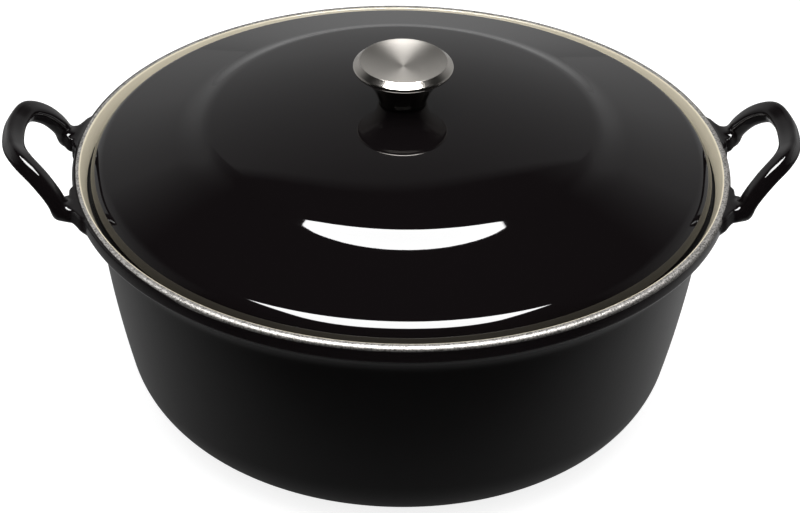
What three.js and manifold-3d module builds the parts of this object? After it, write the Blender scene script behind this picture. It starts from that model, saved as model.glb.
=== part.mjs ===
// Round casserole pot of enamelled cast iron: a body with two loop handles cast in one piece with it,
// a stepped lid that drops into a ledge inside the rim, and a steel knob screwed on through the lid.
// Millimetres and degrees, +Z up. The origin is the centre of the flat base, on the table.

import * as THREE from 'three';
import { mergeVertices } from 'three/addons/utils/BufferGeometryUtils.js';
import Module from 'manifold-3d';

const wasm = await Module();
wasm.setup();

// Body: overall size, wall and base
const potHeight = 127.5; // table to the top of the rim
const rimRadius = 160.5; // outside of the rim
const rimOverhang = 12.2; // from the top of the wall out to the rim
const wallLean = 6.9; // lean of the wall at its top, from vertical
const wallSweep = 600; // radius of the long curve of the wall
const cornerRadius = 40; // wall into base
const wallThickness = 4;

// Body: lip and rim
const lipHeight = 8.5; // band below the top of the rim
const lipDraft = 0.6; // the band draws in by this much at its foot
const lipFootRound = 2.5;
const flareAngle = 50; // lean of the flare that carries the lip, from vertical
const flareRound = 12;
const rimWidth = 4;
const rimOuterRound = 2;
const rimInnerRound = 1;

// Body: recess and ledge that take the lid
const ledgeDepth = 7.5; // below the top of the rim
const recessLean = 27; // lean of the recess's side, from vertical
const recessFillet = 1.5;
const ledgeEdgeRound = 2;

// Handles: flat lugs on the lip and a bar that loops up and out from one lug to the other
const lugInnerAcross = 18; // centre line of the handle to the lug's finger side, at the lip
const lugOuterAcross = 47; // centre line of the handle to the lug's outer side, at the lip
const lugEndWidth = 15;
const lugThickness = 9.5;
const lugEdgeRound = 1.5;
const lugDrop = 0.8; // top of the lug below the top of the rim
const lugRoot = 2.3; // how far the lug is rooted in the lip
const footReach = 3.4; // bar centre beyond the rim, at the lug
const footAcross = 34.6; // bar centre from the centre line, at the lug
const footDepth = 5.2; // bar centre below the top of the rim, at the lug
const loopReach = 24.4; // how far the loop runs out from its feet
const loopRise = 21.8; // how far the loop rises above its feet
const barFootRadius = 4.8;
const barGripWidth = 11.4; // across the bar in the middle of the grip
const barGripHeight = 10.2;

// Lid: edge, brim, step and crown
const lidClearance = 1.2; // lid to the foot of the recess
const seatGap = 0.3; // lid over the ledge
const lidThickness = 3.8;
const lidEdgeRise = 2.7; // brim line carried out to the edge, above the rim
const lidEdgeRound = 9.8;
const skirtWidth = 6.3;
const skirtRound = 1;
const brimWidth = 45.9; // lid edge to the foot of the step
const stepRun = 10.1;
const stepDrop = 5.56;
const stepFootRound = 28;
const shoulderRound = 29;
const crownRise = 36.3; // knob seat above the rim
const crownDrop = 12.14; // knob seat to the shoulder of the step
const knobSeatRadius = 13.5;

// Knob: a turned trumpet with a flat bevelled head
const knobFootRadius = 12;
const knobHeadRadius = 24.3;
const knobHeight = 22.7; // foot to the edge of the flat top
const knobTopRadius = 21.2;
const knobTopDome = 0.4;
const bevelDrop = 1.95;
const headEdgeHeight = 2.8; // rounded edge of the head, below the bevel
const trumpetWaist = 0.5; // bulge of the trumpet's curve beyond the foot
const trumpetWaistHeight = 13.3;
const boreDepth = 14;

// Screw and lock washer under the lid
const screwRadius = 2.9;
const boreClearance = 0.3;
const lidHoleClearance = 0.5;
const washerClearance = 0.3;
const screwBite = 11.5; // length of the screw inside the knob
const screwHeadRadius = 5.6;
const screwHeadHeight = 3.4;
const screwHeadRound = 1.6;
const slotWidth = 1.4;
const slotDepth = 1.4;
const washerRadius = 6;
const washerThickness = 1.4;
const washerSlit = 0.9;
const padRadius = 10.5; // flat pad under the lid for the washer
const padThickness = 1;

// Steps of the faceted round forms
const potFacets = 56;
const knobFacets = 32;
const screwFacets = 20;
const barFacets = 10;
const barSteps = 24;
const roundStep = 34; // degrees of a rounded corner to a step

const radians = THREE.MathUtils.degToRad;
const sin = (angle) => Math.sin(radians(angle));
const cos = (angle) => Math.cos(radians(angle));
const tan = (angle) => Math.tan(radians(angle));

// Points of an arc in a profile, both ends included; angles from the radial direction
function arc(centreR, centreZ, radius, from, to, steps) {
  const points = [];
  for (let i = 0; i <= steps; i += 1) {
    const angle = from + ((to - from) * i) / steps;
    points.push([centreR + radius * cos(angle), centreZ + radius * sin(angle)]);
  }
  return points;
}

// An outline of [r, z] or [r, z, round] corners as points, with each rounded corner as a tangent arc
function rounded(corners) {
  const points = [];
  corners.forEach(([r, z, round], i) => {
    const corner = new THREE.Vector2(r, z);
    if (!round) {
      points.push(corner);
      return;
    }
    const before = new THREE.Vector2(...corners[i - 1].slice(0, 2)).sub(corner).normalize();
    const after = new THREE.Vector2(...corners[i + 1].slice(0, 2)).sub(corner).normalize();
    const opening = Math.acos(before.dot(after));
    const middle = before.clone().add(after).normalize();
    const centre = corner.clone().addScaledVector(middle, round / Math.sin(opening / 2));
    const start = corner.clone().addScaledVector(before, round / Math.tan(opening / 2)).sub(centre);
    const turn = (Math.PI - opening) * Math.sign(after.cross(before));
    const steps = Math.ceil(THREE.MathUtils.radToDeg(Math.abs(turn)) / roundStep);
    for (let k = 0; k <= steps; k += 1) {
      points.push(start.clone().rotateAround(new THREE.Vector2(), (turn * k) / steps).add(centre));
    }
  });
  return points;
}

// A closed geometry as a solid that can be joined and cut
function solidOf(geometry) {
  const bare = geometry.clone();
  bare.deleteAttribute('normal');
  bare.deleteAttribute('uv');
  const merged = mergeVertices(bare);
  const index = merged.index.array;
  const triangles = [];
  for (let i = 0; i < index.length; i += 3) {
    const [a, b, c] = index.slice(i, i + 3);
    if (a !== b && b !== c && c !== a) triangles.push(a, b, c);
  }
  return new wasm.Manifold(
    new wasm.Mesh({
      numProp: 3,
      vertProperties: new Float32Array(merged.attributes.position.array),
      triVerts: new Uint32Array(triangles),
    }),
  );
}

// A profile of (r, z) points turned about the Z axis
function revolved(profile, facets) {
  return solidOf(new THREE.LatheGeometry(profile, facets).rotateX(Math.PI / 2));
}

// A named mesh of a solid with its finish
function part(name, solid, color, roughness, metalness) {
  const { vertProperties, triVerts } = solid.getMesh();
  const geometry = new THREE.BufferGeometry();
  geometry.setAttribute('position', new THREE.BufferAttribute(vertProperties, 3));
  geometry.setIndex(new THREE.BufferAttribute(triVerts, 1));
  geometry.computeVertexNormals();
  const mesh = new THREE.Mesh(geometry, new THREE.MeshStandardMaterial({ color, roughness, metalness }));
  mesh.name = name;
  return mesh;
}

// Places worked out from the driving dimensions
const wallTopRadius = rimRadius - rimOverhang;
const wallTopHeight = potHeight - lipHeight - (rimOverhang - lipDraft) / tan(flareAngle);
const sweepCentreR = wallTopRadius - wallSweep * cos(wallLean);
const sweepCentreZ = wallTopHeight + wallSweep * sin(wallLean);
const cornerLean = THREE.MathUtils.radToDeg(
  Math.asin((wallTopHeight - cornerRadius + wallSweep * sin(wallLean)) / (wallSweep - cornerRadius)),
);
const baseRadius = sweepCentreR + (wallSweep - cornerRadius) * cos(cornerLean);
const ledgeHeight = potHeight - ledgeDepth;
const recessFootRadius = rimRadius - rimWidth - ledgeDepth * tan(recessLean);
const lidRadius = recessFootRadius - lidClearance;
const lidSeat = ledgeHeight + seatGap;
const knobSeat = potHeight + crownRise;
const padFace = knobSeat - lidThickness - padThickness;
const washerFace = padFace - washerThickness;

// Body without handles: one profile up the outside, over the rim, down to the ledge and back inside
function bodyOfRevolution() {
  const insideTopRadius =
    wallTopRadius - wallThickness / cos(wallLean) + (ledgeHeight - wallTopHeight) * tan(wallLean);
  const innerSweep = wallSweep - wallThickness;
  const innerCorner = cornerRadius - wallThickness;
  const outside = [
    ...arc(baseRadius, cornerRadius, cornerRadius, -90, -cornerLean, 6),
    ...arc(sweepCentreR, sweepCentreZ, wallSweep, -cornerLean, -wallLean, 4).slice(1, -1),
  ];
  const inside = [
    ...arc(sweepCentreR, sweepCentreZ, innerSweep, -wallLean, -cornerLean, 4),
    ...arc(baseRadius, cornerRadius, innerCorner, -cornerLean, -90, 6).slice(1),
  ];
  const profile = rounded([
    [0, 0],
    ...outside,
    [wallTopRadius, wallTopHeight, flareRound],
    [rimRadius - lipDraft, potHeight - lipHeight, lipFootRound],
    [rimRadius, potHeight, rimOuterRound],
    [rimRadius - rimWidth, potHeight, rimInnerRound],
    [recessFootRadius, ledgeHeight, recessFillet],
    [insideTopRadius, ledgeHeight, ledgeEdgeRound],
    ...inside,
    [0, wallThickness],
  ]);
  return revolved(profile, potFacets);
}

// One lug of the handle on the +X side; side is +1 or -1 for the two feet of the loop.
// The plan is drawn at the flat faces, and the rounded edges stand out from it.
function lug(side) {
  const root = rimRadius - lugRoot;
  const rootAt = (across) => [Math.sqrt(root ** 2 - across ** 2), side * across];
  const end = rimRadius + footReach - lugEdgeRound;
  const endInner = side * (footAcross - 0.62 * lugEndWidth + lugEdgeRound);
  const endOuter = side * (footAcross + 0.38 * lugEndWidth - lugEdgeRound);
  const [innerX, innerY] = rootAt(lugInnerAcross);
  const [outerX, outerY] = rootAt(lugOuterAcross);
  const shape = new THREE.Shape();
  shape.moveTo(innerX, innerY);
  shape.quadraticCurveTo(rimRadius - lugEdgeRound, endInner, end, endInner);
  shape.lineTo(end - 0.4 * footReach, endOuter);
  shape.quadraticCurveTo(outerX + footReach, endOuter, outerX, outerY);
  const depth = lugThickness - 2 * lugEdgeRound;
  const plate = new THREE.ExtrudeGeometry(shape, {
    depth,
    curveSegments: 5,
    bevelThickness: lugEdgeRound,
    bevelSize: lugEdgeRound,
    bevelSegments: 2,
  });
  return solidOf(plate.translate(0, 0, potHeight - lugDrop - lugEdgeRound - depth));
}

// The centre line of the loop on the +X side, from one foot up, out and round to the other
function loopCurve() {
  // shares of the loop's reach, of its half width and of its rise, from a foot to the middle
  const shares = [[0, 1, 0], [0.09, 0.985, 0.28], [0.4, 0.885, 0.71], [0.76, 0.68, 0.99], [0.95, 0.36, 1]];
  const at = ([out, across, up], side) => new THREE.Vector3(
    rimRadius + footReach + out * loopReach,
    side * across * footAcross,
    potHeight - footDepth + up * loopRise,
  );
  const half = shares.map((share) => at(share, -1));
  const otherHalf = shares.map((share) => at(share, 1)).reverse();
  return new THREE.CatmullRomCurve3([...half, at([1, 0, 0.94], 1), ...otherHalf]);
}

// The bar of the handle: oval rings lofted along the loop, fullest in the middle of the grip
function bar() {
  const curve = loopCurve();
  const leanOut = new THREE.Vector3(-loopRise, 0, loopReach).normalize();
  const positions = [];
  const index = [];
  for (let i = 0; i <= barSteps; i += 1) {
    const t = i / barSteps;
    const centre = curve.getPoint(t);
    const along = curve.getTangent(t);
    const up = leanOut.clone().addScaledVector(along, -along.dot(leanOut)).normalize();
    const across = new THREE.Vector3().crossVectors(along, up);
    const grip = Math.sin(Math.PI * t);
    const halfWidth = THREE.MathUtils.lerp(barFootRadius, barGripWidth / 2, grip);
    const halfHeight = THREE.MathUtils.lerp(barFootRadius, barGripHeight / 2, grip);
    for (let k = 0; k < barFacets; k += 1) {
      const angle = (2 * Math.PI * k) / barFacets;
      const point = centre.clone()
        .addScaledVector(across, halfWidth * Math.cos(angle))
        .addScaledVector(up, halfHeight * Math.sin(angle));
      positions.push(...point.toArray());
      if (i < barSteps) {
        const next = (k + 1) % barFacets;
        const [a, b] = [i * barFacets + k, i * barFacets + next];
        index.push(a, a + barFacets, b, b, a + barFacets, b + barFacets);
      }
    }
  }
  const lastRing = barSteps * barFacets;
  for (let k = 1; k < barFacets - 1; k += 1) {
    index.push(0, k, k + 1, lastRing, lastRing + k + 1, lastRing + k);
  }
  const loft = new THREE.BufferGeometry();
  loft.setAttribute('position', new THREE.BufferAttribute(new Float32Array(positions), 3));
  loft.setIndex(index);
  const feet = [curve.getPoint(0), curve.getPoint(1)].map((foot) => {
    const ball = new THREE.SphereGeometry(barFootRadius, barFacets, barFacets / 2);
    return solidOf(ball.translate(...foot.toArray()));
  });
  return solidOf(loft).add(feet[0]).add(feet[1]);
}

// The pot: body, four lugs and two bars in one casting
function potBody() {
  const handle = bar().add(lug(1)).add(lug(-1));
  return bodyOfRevolution().add(handle).add(handle.rotate([0, 0, 180]));
}

// The lid: seat and edge, brim, step and crown above, and the same forms below at the casting's thickness
function lid() {
  const stepFootRadius = lidRadius - brimWidth;
  const shoulderRadius = stepFootRadius - stepRun;
  const edgeHeight = potHeight + lidEdgeRise;
  const shoulderHeight = knobSeat - crownDrop;
  const stepFootHeight = shoulderHeight - stepDrop;
  const skirtRadius = lidRadius - skirtWidth;
  const brimSlope = (stepFootHeight - edgeHeight) / brimWidth;
  const skirtTop = edgeHeight + brimSlope * skirtWidth - lidThickness;
  const holeRadius = screwRadius + lidHoleClearance;
  // the crown is an arc about the axis from the knob's seat down to the shoulder
  const crownCentre =
    (knobSeat ** 2 - shoulderHeight ** 2 + knobSeatRadius ** 2 - shoulderRadius ** 2) / (2 * crownDrop);
  const crownRadius = Math.hypot(knobSeat - crownCentre, knobSeatRadius);
  const crownAt = (r) => crownCentre + Math.sqrt(crownRadius ** 2 - r ** 2);
  const crownPoints = [0.75, 0.5, 0.25].map((share) => {
    const r = THREE.MathUtils.lerp(knobSeatRadius, shoulderRadius, share);
    return [r, crownAt(r)];
  });
  const under = ([r, z]) => [r, z - lidThickness];
  const profile = rounded([
    [holeRadius, padFace],
    [padRadius, padFace],
    [padRadius, padFace + padThickness],
    under([knobSeatRadius, knobSeat]),
    ...crownPoints.map(under).reverse(),
    [shoulderRadius, shoulderHeight - lidThickness, shoulderRound],
    [stepFootRadius, stepFootHeight - lidThickness, stepFootRound],
    [skirtRadius, skirtTop, skirtRound],
    [skirtRadius, lidSeat, skirtRound],
    [lidRadius, lidSeat, skirtRound],
    [lidRadius, edgeHeight, lidEdgeRound],
    [stepFootRadius, stepFootHeight, stepFootRound],
    [shoulderRadius, shoulderHeight, shoulderRound],
    ...crownPoints,
    [knobSeatRadius, knobSeat],
    [holeRadius, knobSeat],
    [holeRadius, padFace],
  ]);
  return revolved(profile, potFacets);
}

// The knob: blind screw bore, trumpet stem, rounded edge, bevel and slightly domed top
function knob() {
  const boreRadius = screwRadius + boreClearance;
  const bevelHeight = knobHeight - bevelDrop;
  const underHeight = bevelHeight - headEdgeHeight;
  const edgeRound = headEdgeHeight / 2;
  const trumpet = new THREE.QuadraticBezierCurve(
    new THREE.Vector2(knobFootRadius, 0),
    new THREE.Vector2(knobFootRadius + trumpetWaist, trumpetWaistHeight),
    new THREE.Vector2(knobHeadRadius - edgeRound, underHeight),
  );
  const domeRadius = (knobTopRadius ** 2 + knobTopDome ** 2) / (2 * knobTopDome);
  const dome = [0.66, 0.33].map((share) => {
    const r = share * knobTopRadius;
    return [r, knobHeight + knobTopDome - domeRadius + Math.sqrt(domeRadius ** 2 - r ** 2)];
  });
  const profile = rounded([
    [0, boreDepth],
    [boreRadius, boreDepth],
    [boreRadius, 0],
    ...trumpet.getPoints(7).map((point) => point.toArray()),
    ...arc(knobHeadRadius - edgeRound, underHeight + edgeRound, edgeRound, -60, 60, 3),
    [knobTopRadius, knobHeight],
    ...dome,
    [0, knobHeight + knobTopDome],
  ]);
  return revolved(profile, knobFacets).translate([0, 0, knobSeat]);
}

// The screw: pan head with a slot, and a shank up through the lid into the knob
function knobScrew() {
  const shankLength = knobSeat + screwBite - washerFace;
  const profile = rounded([
    [0, -screwHeadHeight],
    [screwHeadRadius, -screwHeadHeight, screwHeadRound],
    [screwHeadRadius, 0],
    [screwRadius, 0],
    [screwRadius, shankLength],
    [0, shankLength],
  ]);
  const slot = new THREE.BoxGeometry(2 * screwHeadRadius + slotWidth, slotWidth, 2 * slotDepth);
  return revolved(profile, screwFacets)
    .subtract(solidOf(slot.translate(0, 0, -screwHeadHeight)))
    .translate([0, 0, washerFace]);
}

// The spring lock washer between the screw's head and the pad: a split ring
function lockWasher() {
  const innerRadius = screwRadius + washerClearance;
  const ring = revolved(rounded([
    [innerRadius, 0],
    [washerRadius, 0],
    [washerRadius, washerThickness],
    [innerRadius, washerThickness],
    [innerRadius, 0],
  ]), screwFacets);
  const slit = new THREE.BoxGeometry(washerRadius, washerSlit, 3 * washerThickness);
  return ring.subtract(solidOf(slit.translate(washerRadius, 0, 0))).translate([0, 0, washerFace]);
}

const blackEnamel = '#141314';
const stainless = '#a8a5a1';
const zincSteel = '#9a9a98';

const casserole = new THREE.Group();
casserole.add(
  part('pot_body', potBody(), blackEnamel, 0.3, 0),
  part('lid', lid(), blackEnamel, 0.12, 0),
  part('knob', knob(), stainless, 0.3, 1),
  part('knob_screw', knobScrew(), zincSteel, 0.4, 1),
  part('lock_washer', lockWasher(), zincSteel, 0.45, 1),
);

export default casserole;
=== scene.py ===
"""Looks of a round enamelled cast-iron casserole with loop handles, a drop-in lid and a steel knob."""

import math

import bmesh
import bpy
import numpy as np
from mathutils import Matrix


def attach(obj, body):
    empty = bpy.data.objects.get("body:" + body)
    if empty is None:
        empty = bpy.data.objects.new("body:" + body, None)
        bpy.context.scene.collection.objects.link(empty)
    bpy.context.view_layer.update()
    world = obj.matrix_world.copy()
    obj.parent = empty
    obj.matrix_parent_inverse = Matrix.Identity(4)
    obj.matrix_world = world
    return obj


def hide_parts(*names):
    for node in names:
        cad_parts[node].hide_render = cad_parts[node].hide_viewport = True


bl_info = {
    "name": "Casserole Pot",
    "version": (1, 0, 0),
    "blender": (4, 5, 0),
    "location": "View3D > Sidebar > Casserole",
    "description": "Builds the pot, its lid, the knob and the fasteners on the packed frame",
    "category": "Add Mesh",
}

import openvdb
from mathutils import Matrix, Vector

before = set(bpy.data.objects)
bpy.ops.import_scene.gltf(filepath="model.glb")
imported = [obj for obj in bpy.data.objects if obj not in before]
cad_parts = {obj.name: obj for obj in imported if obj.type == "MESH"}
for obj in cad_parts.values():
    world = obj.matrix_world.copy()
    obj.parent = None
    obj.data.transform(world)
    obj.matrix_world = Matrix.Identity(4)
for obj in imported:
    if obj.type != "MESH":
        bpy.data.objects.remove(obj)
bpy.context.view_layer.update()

MM = 0.001
FACETS_POT = 224
FACETS_KNOB = 160
FACETS_SCREW = 64


# Sizes and colours that a user would change

def length(name, description, millimetres):
    return bpy.props.FloatProperty(
        name=name, description=description, default=millimetres * MM, unit="LENGTH", precision=5)


def angle(name, description, degrees):
    return bpy.props.FloatProperty(
        name=name, description=description, default=math.radians(degrees), unit="ROTATION", subtype="ANGLE")


def amount(name, description, default):
    return bpy.props.FloatProperty(name=name, description=description, default=default, min=0)


def linear(hex_colour):
    """Linear red, green and blue of an sRGB hex colour."""
    channels = [int(hex_colour[i:i + 2], 16) / 255 for i in (1, 3, 5)]
    return tuple(c / 12.92 if c <= 0.04045 else ((c + 0.055) / 1.055) ** 2.4 for c in channels)


def tint(name, description, hex_colour):
    return bpy.props.FloatVectorProperty(
        name=name, description=description, default=linear(hex_colour),
        subtype="COLOR", size=3, min=0, max=1)


class PotSizes(bpy.types.PropertyGroup):
    height: length("Height", "Table to the top of the rim", 127.5)
    rim_radius: length("Rim radius", "Outside of the rim", 160.5)
    rim_overhang: length("Rim overhang", "Top of the wall out to the rim", 12.2)
    wall_lean: angle("Wall lean", "Lean of the wall at its top, from vertical", 6.9)
    wall_sweep: length("Wall sweep", "Radius of the long curve of the wall", 600)
    corner_radius: length("Corner radius", "Wall into base", 40)
    wall_thickness: length("Wall thickness", "Thickness of the casting", 4)
    lip_height: length("Lip height", "Band below the top of the rim", 8.5)
    lip_draft: length("Lip draft", "How far the band draws in at its foot", 0.6)
    lip_foot_round: length("Lip foot rounding", "Rounding under the band", 2.5)
    flare_angle: angle("Flare angle", "Lean of the flare that carries the lip, from vertical", 50)
    flare_round: length("Flare rounding", "Wall into flare", 12)
    rim_width: length("Rim width", "Across the top of the rim", 4)
    rim_outer_round: length("Rim outer rounding", "Outer edge of the rim", 2)
    # how far the black runs over the rim is painted shade, widest where the edge lies in shade
    rim_cover: length("Rim cover", "How far the black enamel runs over the rim at most", 1.9)
    rim_inner_round: length("Rim inner rounding", "Inner edge of the rim", 1)
    ledge_depth: length("Ledge depth", "Ledge below the top of the rim", 7.5)
    recess_lean: angle("Recess lean", "Lean of the recess's side, from vertical", 27)
    recess_fillet: length("Recess fillet", "Side of the recess into the ledge", 1.5)
    ledge_edge_round: length("Ledge edge rounding", "Ledge into the inner wall", 2)


class HandleSizes(bpy.types.PropertyGroup):
    lug_inner: length("Lug inner side", "Centre line to the lug's finger side, at the lip", 18)
    lug_outer: length("Lug outer side", "Centre line to the lug's outer side, at the lip", 47)
    lug_end: length("Lug end width", "Width of the lug's free end", 15)
    lug_thickness: length("Lug thickness", "Height of the lug", 7.8)
    lug_round: length("Lug rounding", "Edges of the lug", 1.6)
    lug_corner: length("Lug corners", "Corners of the lug, seen from above", 2.6)
    lug_drop: length("Lug drop", "Top of the lug below the top of the rim", 0.8)
    foot_reach: length("Foot reach", "Bar centre beyond the rim, at the lug", 4.2)
    foot_across: length("Foot spread", "Bar centre from the centre line, at the lug", 34.6)
    foot_depth: length("Foot depth", "Bar centre below the top of the rim, at the lug", 5.2)
    loop_reach: length("Loop reach", "How far the loop runs out from its feet", 23.6)
    loop_rise: length("Loop rise", "How far the loop rises above its feet", 21.8)
    bar_foot: length("Bar foot radius", "Radius of the bar at the lug", 4.2)
    grip_width: length("Grip width", "Across the bar in the middle of the grip", 9.8)
    grip_height: length("Grip height", "Depth of the bar in the middle of the grip", 8.4)
    grip_lean: angle("Grip lean", "How far the flat face of the grip leans in", 30)
    lip_fillet: length("Lip fillet", "How far lug and lip run into each other", 3.6)
    bar_fillet: length("Bar fillet", "How far bar and lug run into each other", 3.6)
    squareness: amount("Squareness", "Power of the grip's section: 2 is an ellipse, more is flatter", 4)
    bare_rim: length("Bare rim", "How far the glaze of the lugs stays off the top of the rim", 1.2)
    voxel: length("Grain of the mesh", "Edge length of the faces of the handles", 0.55)


class LidSizes(bpy.types.PropertyGroup):
    clearance: length("Clearance", "Lid to the foot of the recess", 1.2)
    seat_gap: length("Seat gap", "Lid over the ledge", 0.3)
    thickness: length("Thickness", "Thickness of the casting", 3.8)
    edge_rise: length("Edge rise", "Brim line carried out to the edge, above the rim", 2.7)
    edge_round: length("Edge rounding", "Rolled edge of the lid", 9.8)
    skirt_width: length("Skirt width", "Width of the ring that sits on the ledge", 6.3)
    skirt_round: length("Skirt rounding", "Edges of that ring", 1)
    brim_width: length("Brim width", "Lid edge to the foot of the step", 45.9)
    step_run: length("Step run", "Width of the step", 10.1)
    step_drop: length("Step drop", "Height of the step", 5.56)
    step_foot_round: length("Step foot rounding", "Brim into step", 60)
    shoulder_round: length("Shoulder rounding", "Step into crown", 25)
    crown_rise: length("Crown rise", "Knob seat above the rim", 36.3)
    crown_drop: length("Crown drop", "Knob seat to the shoulder of the step", 12.14)
    knob_seat: length("Knob seat radius", "Flat under the knob", 13.5)
    hole: length("Hole radius", "Hole for the screw", 3.4)
    pad: length("Pad radius", "Flat under the lid for the washer", 10.5)
    pad_thickness: length("Pad thickness", "Height of that flat", 1)


class KnobSizes(bpy.types.PropertyGroup):
    foot: length("Foot radius", "Foot of the stem", 11.3)
    head: length("Head radius", "Widest part of the head", 24.3)
    height: length("Height", "Foot to the edge of the flat top", 22.7)
    top: length("Top radius", "Brushed top", 21.2)
    dish: length("Top dish", "Hollow of the brushed top", 3)
    bevel_drop: length("Bevel drop", "Height of the bevel", 1.95)
    edge_height: length("Edge height", "Rounded edge below the bevel", 2.8)
    waist: length("Waist", "Bulge of the stem's curve beyond the foot", 2.7)
    waist_height: length("Waist height", "Height of that bulge", 11)
    bore: length("Bore radius", "Screw bore from below", 3.2)
    bore_depth: length("Bore depth", "Depth of the bore", 14)


class FastenerSizes(bpy.types.PropertyGroup):
    screw: length("Screw radius", "Shank of the screw", 2.9)
    bite: length("Screw bite", "Length of the screw inside the knob", 11.5)
    head: length("Head radius", "Pan head of the screw", 5.6)
    head_height: length("Head height", "Height of the pan head", 3.4)
    head_round: length("Head rounding", "Edge of the pan head", 1.6)
    slot_width: length("Slot width", "Driver slot", 1.4)
    slot_depth: length("Slot depth", "Driver slot", 1.4)
    washer: length("Washer radius", "Outside of the lock washer", 6)
    washer_bore: length("Washer bore", "Inside of the lock washer", 3.2)
    washer_thickness: length("Washer thickness", "Height of the lock washer", 1.4)
    washer_slit: length("Washer slit", "Slit of the lock washer", 0.9)


class Finishes(bpy.types.PropertyGroup):
    black: tint("Black enamel", "Glazed outside", "#110e0f")
    cream: tint("Cream enamel", "Glazed inside", "#eee4cb")
    iron: tint("Rim iron", "Bare ground rim", "#bab7b3")
    steel: tint("Stainless steel", "Knob", "#e0dbd4")
    zinc: tint("Zinc plating", "Screw and washer", "#9d9d9a")
    floor: tint("Floor", "Plain pale floor", "#bcbcbc")


class StageLevels(bpy.types.PropertyGroup):
    light: amount("Softbox light", "Radiance of the softbox as matt surfaces get it", 2)
    highlight: amount("Softbox image", "Radiance of the softbox as glossy surfaces mirror it", 18)
    ambient: amount("Ambient", "Light of the room on matt surfaces", 0.8)
    glow: amount("Glow", "Brightness of the backdrop at its foot, in reflections", 0.33)
    fade: amount("Fade", "Share of that brightness at the top of the backdrop", 0.3)
    floor_lift: amount("Floor lift", "White added to the floor as the camera sees it", 0.8)
    floor_mirror: amount("Mirrored lift", "Share of that white in reflections", 0.2)
    floor_front: amount("Floor before the pot", "Share of the floor that the glaze mirrors in front", 0.02)
    floor_side: amount("Floor beside the pot", "Share that it mirrors beside and behind the pot", 0.5)
    floor_right: amount("Floor to the right", "How much paler that share is to the right", 1.5)
    floor_far: amount("Floor further off", "How much of that share is left further off", 0.15)


# Small tools

def add(tree, kind, values=None, links=None, **settings):
    """Adds a node with its settings, its input values and its links."""
    made = tree.nodes.new(kind)
    for key, value in settings.items():
        setattr(made, key, value)
    for key, value in (values or {}).items():
        made.inputs[key].default_value = value
    for key, source in (links or {}).items():
        tree.links.new(source, made.inputs[key])
    return made


def rounded(corners, step=6.0):
    """Points of an outline of (r, z, round, finish) corners, and the finish from each point on.

    A rounded corner becomes a tangent arc with a point every few degrees, in its own corner's finish.
    """
    points, finishes = [], []
    for i, (r, z, bend, finish) in enumerate(corners):
        corner = Vector((r, z))
        if not bend:
            points.append(corner)
            finishes.append(finish)
            continue
        before = (Vector(corners[i - 1][:2]) - corner).normalized()
        after = (Vector(corners[i + 1][:2]) - corner).normalized()
        opening = before.angle(after)
        centre = corner + (before + after).normalized() * (bend / math.sin(opening / 2))
        start = corner + before * (bend / math.tan(opening / 2)) - centre
        turn = math.copysign(math.pi - opening, after.cross(before))
        steps = max(3, math.ceil(math.degrees(abs(turn)) / step))
        for k in range(steps + 1):
            points.append(Matrix.Rotation(turn * k / steps, 2) @ start + centre)
            finishes.append(finish)
    return np.array(points), finishes


def arc(centre_r, centre_z, radius, start, end, steps, finish):
    """Corners of an arc of an outline, both ends included; angles from the radial direction."""
    turns = np.linspace(start, end, steps + 1)
    return [(centre_r + radius * math.cos(t), centre_z + radius * math.sin(t), 0, finish) for t in turns]


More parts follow.
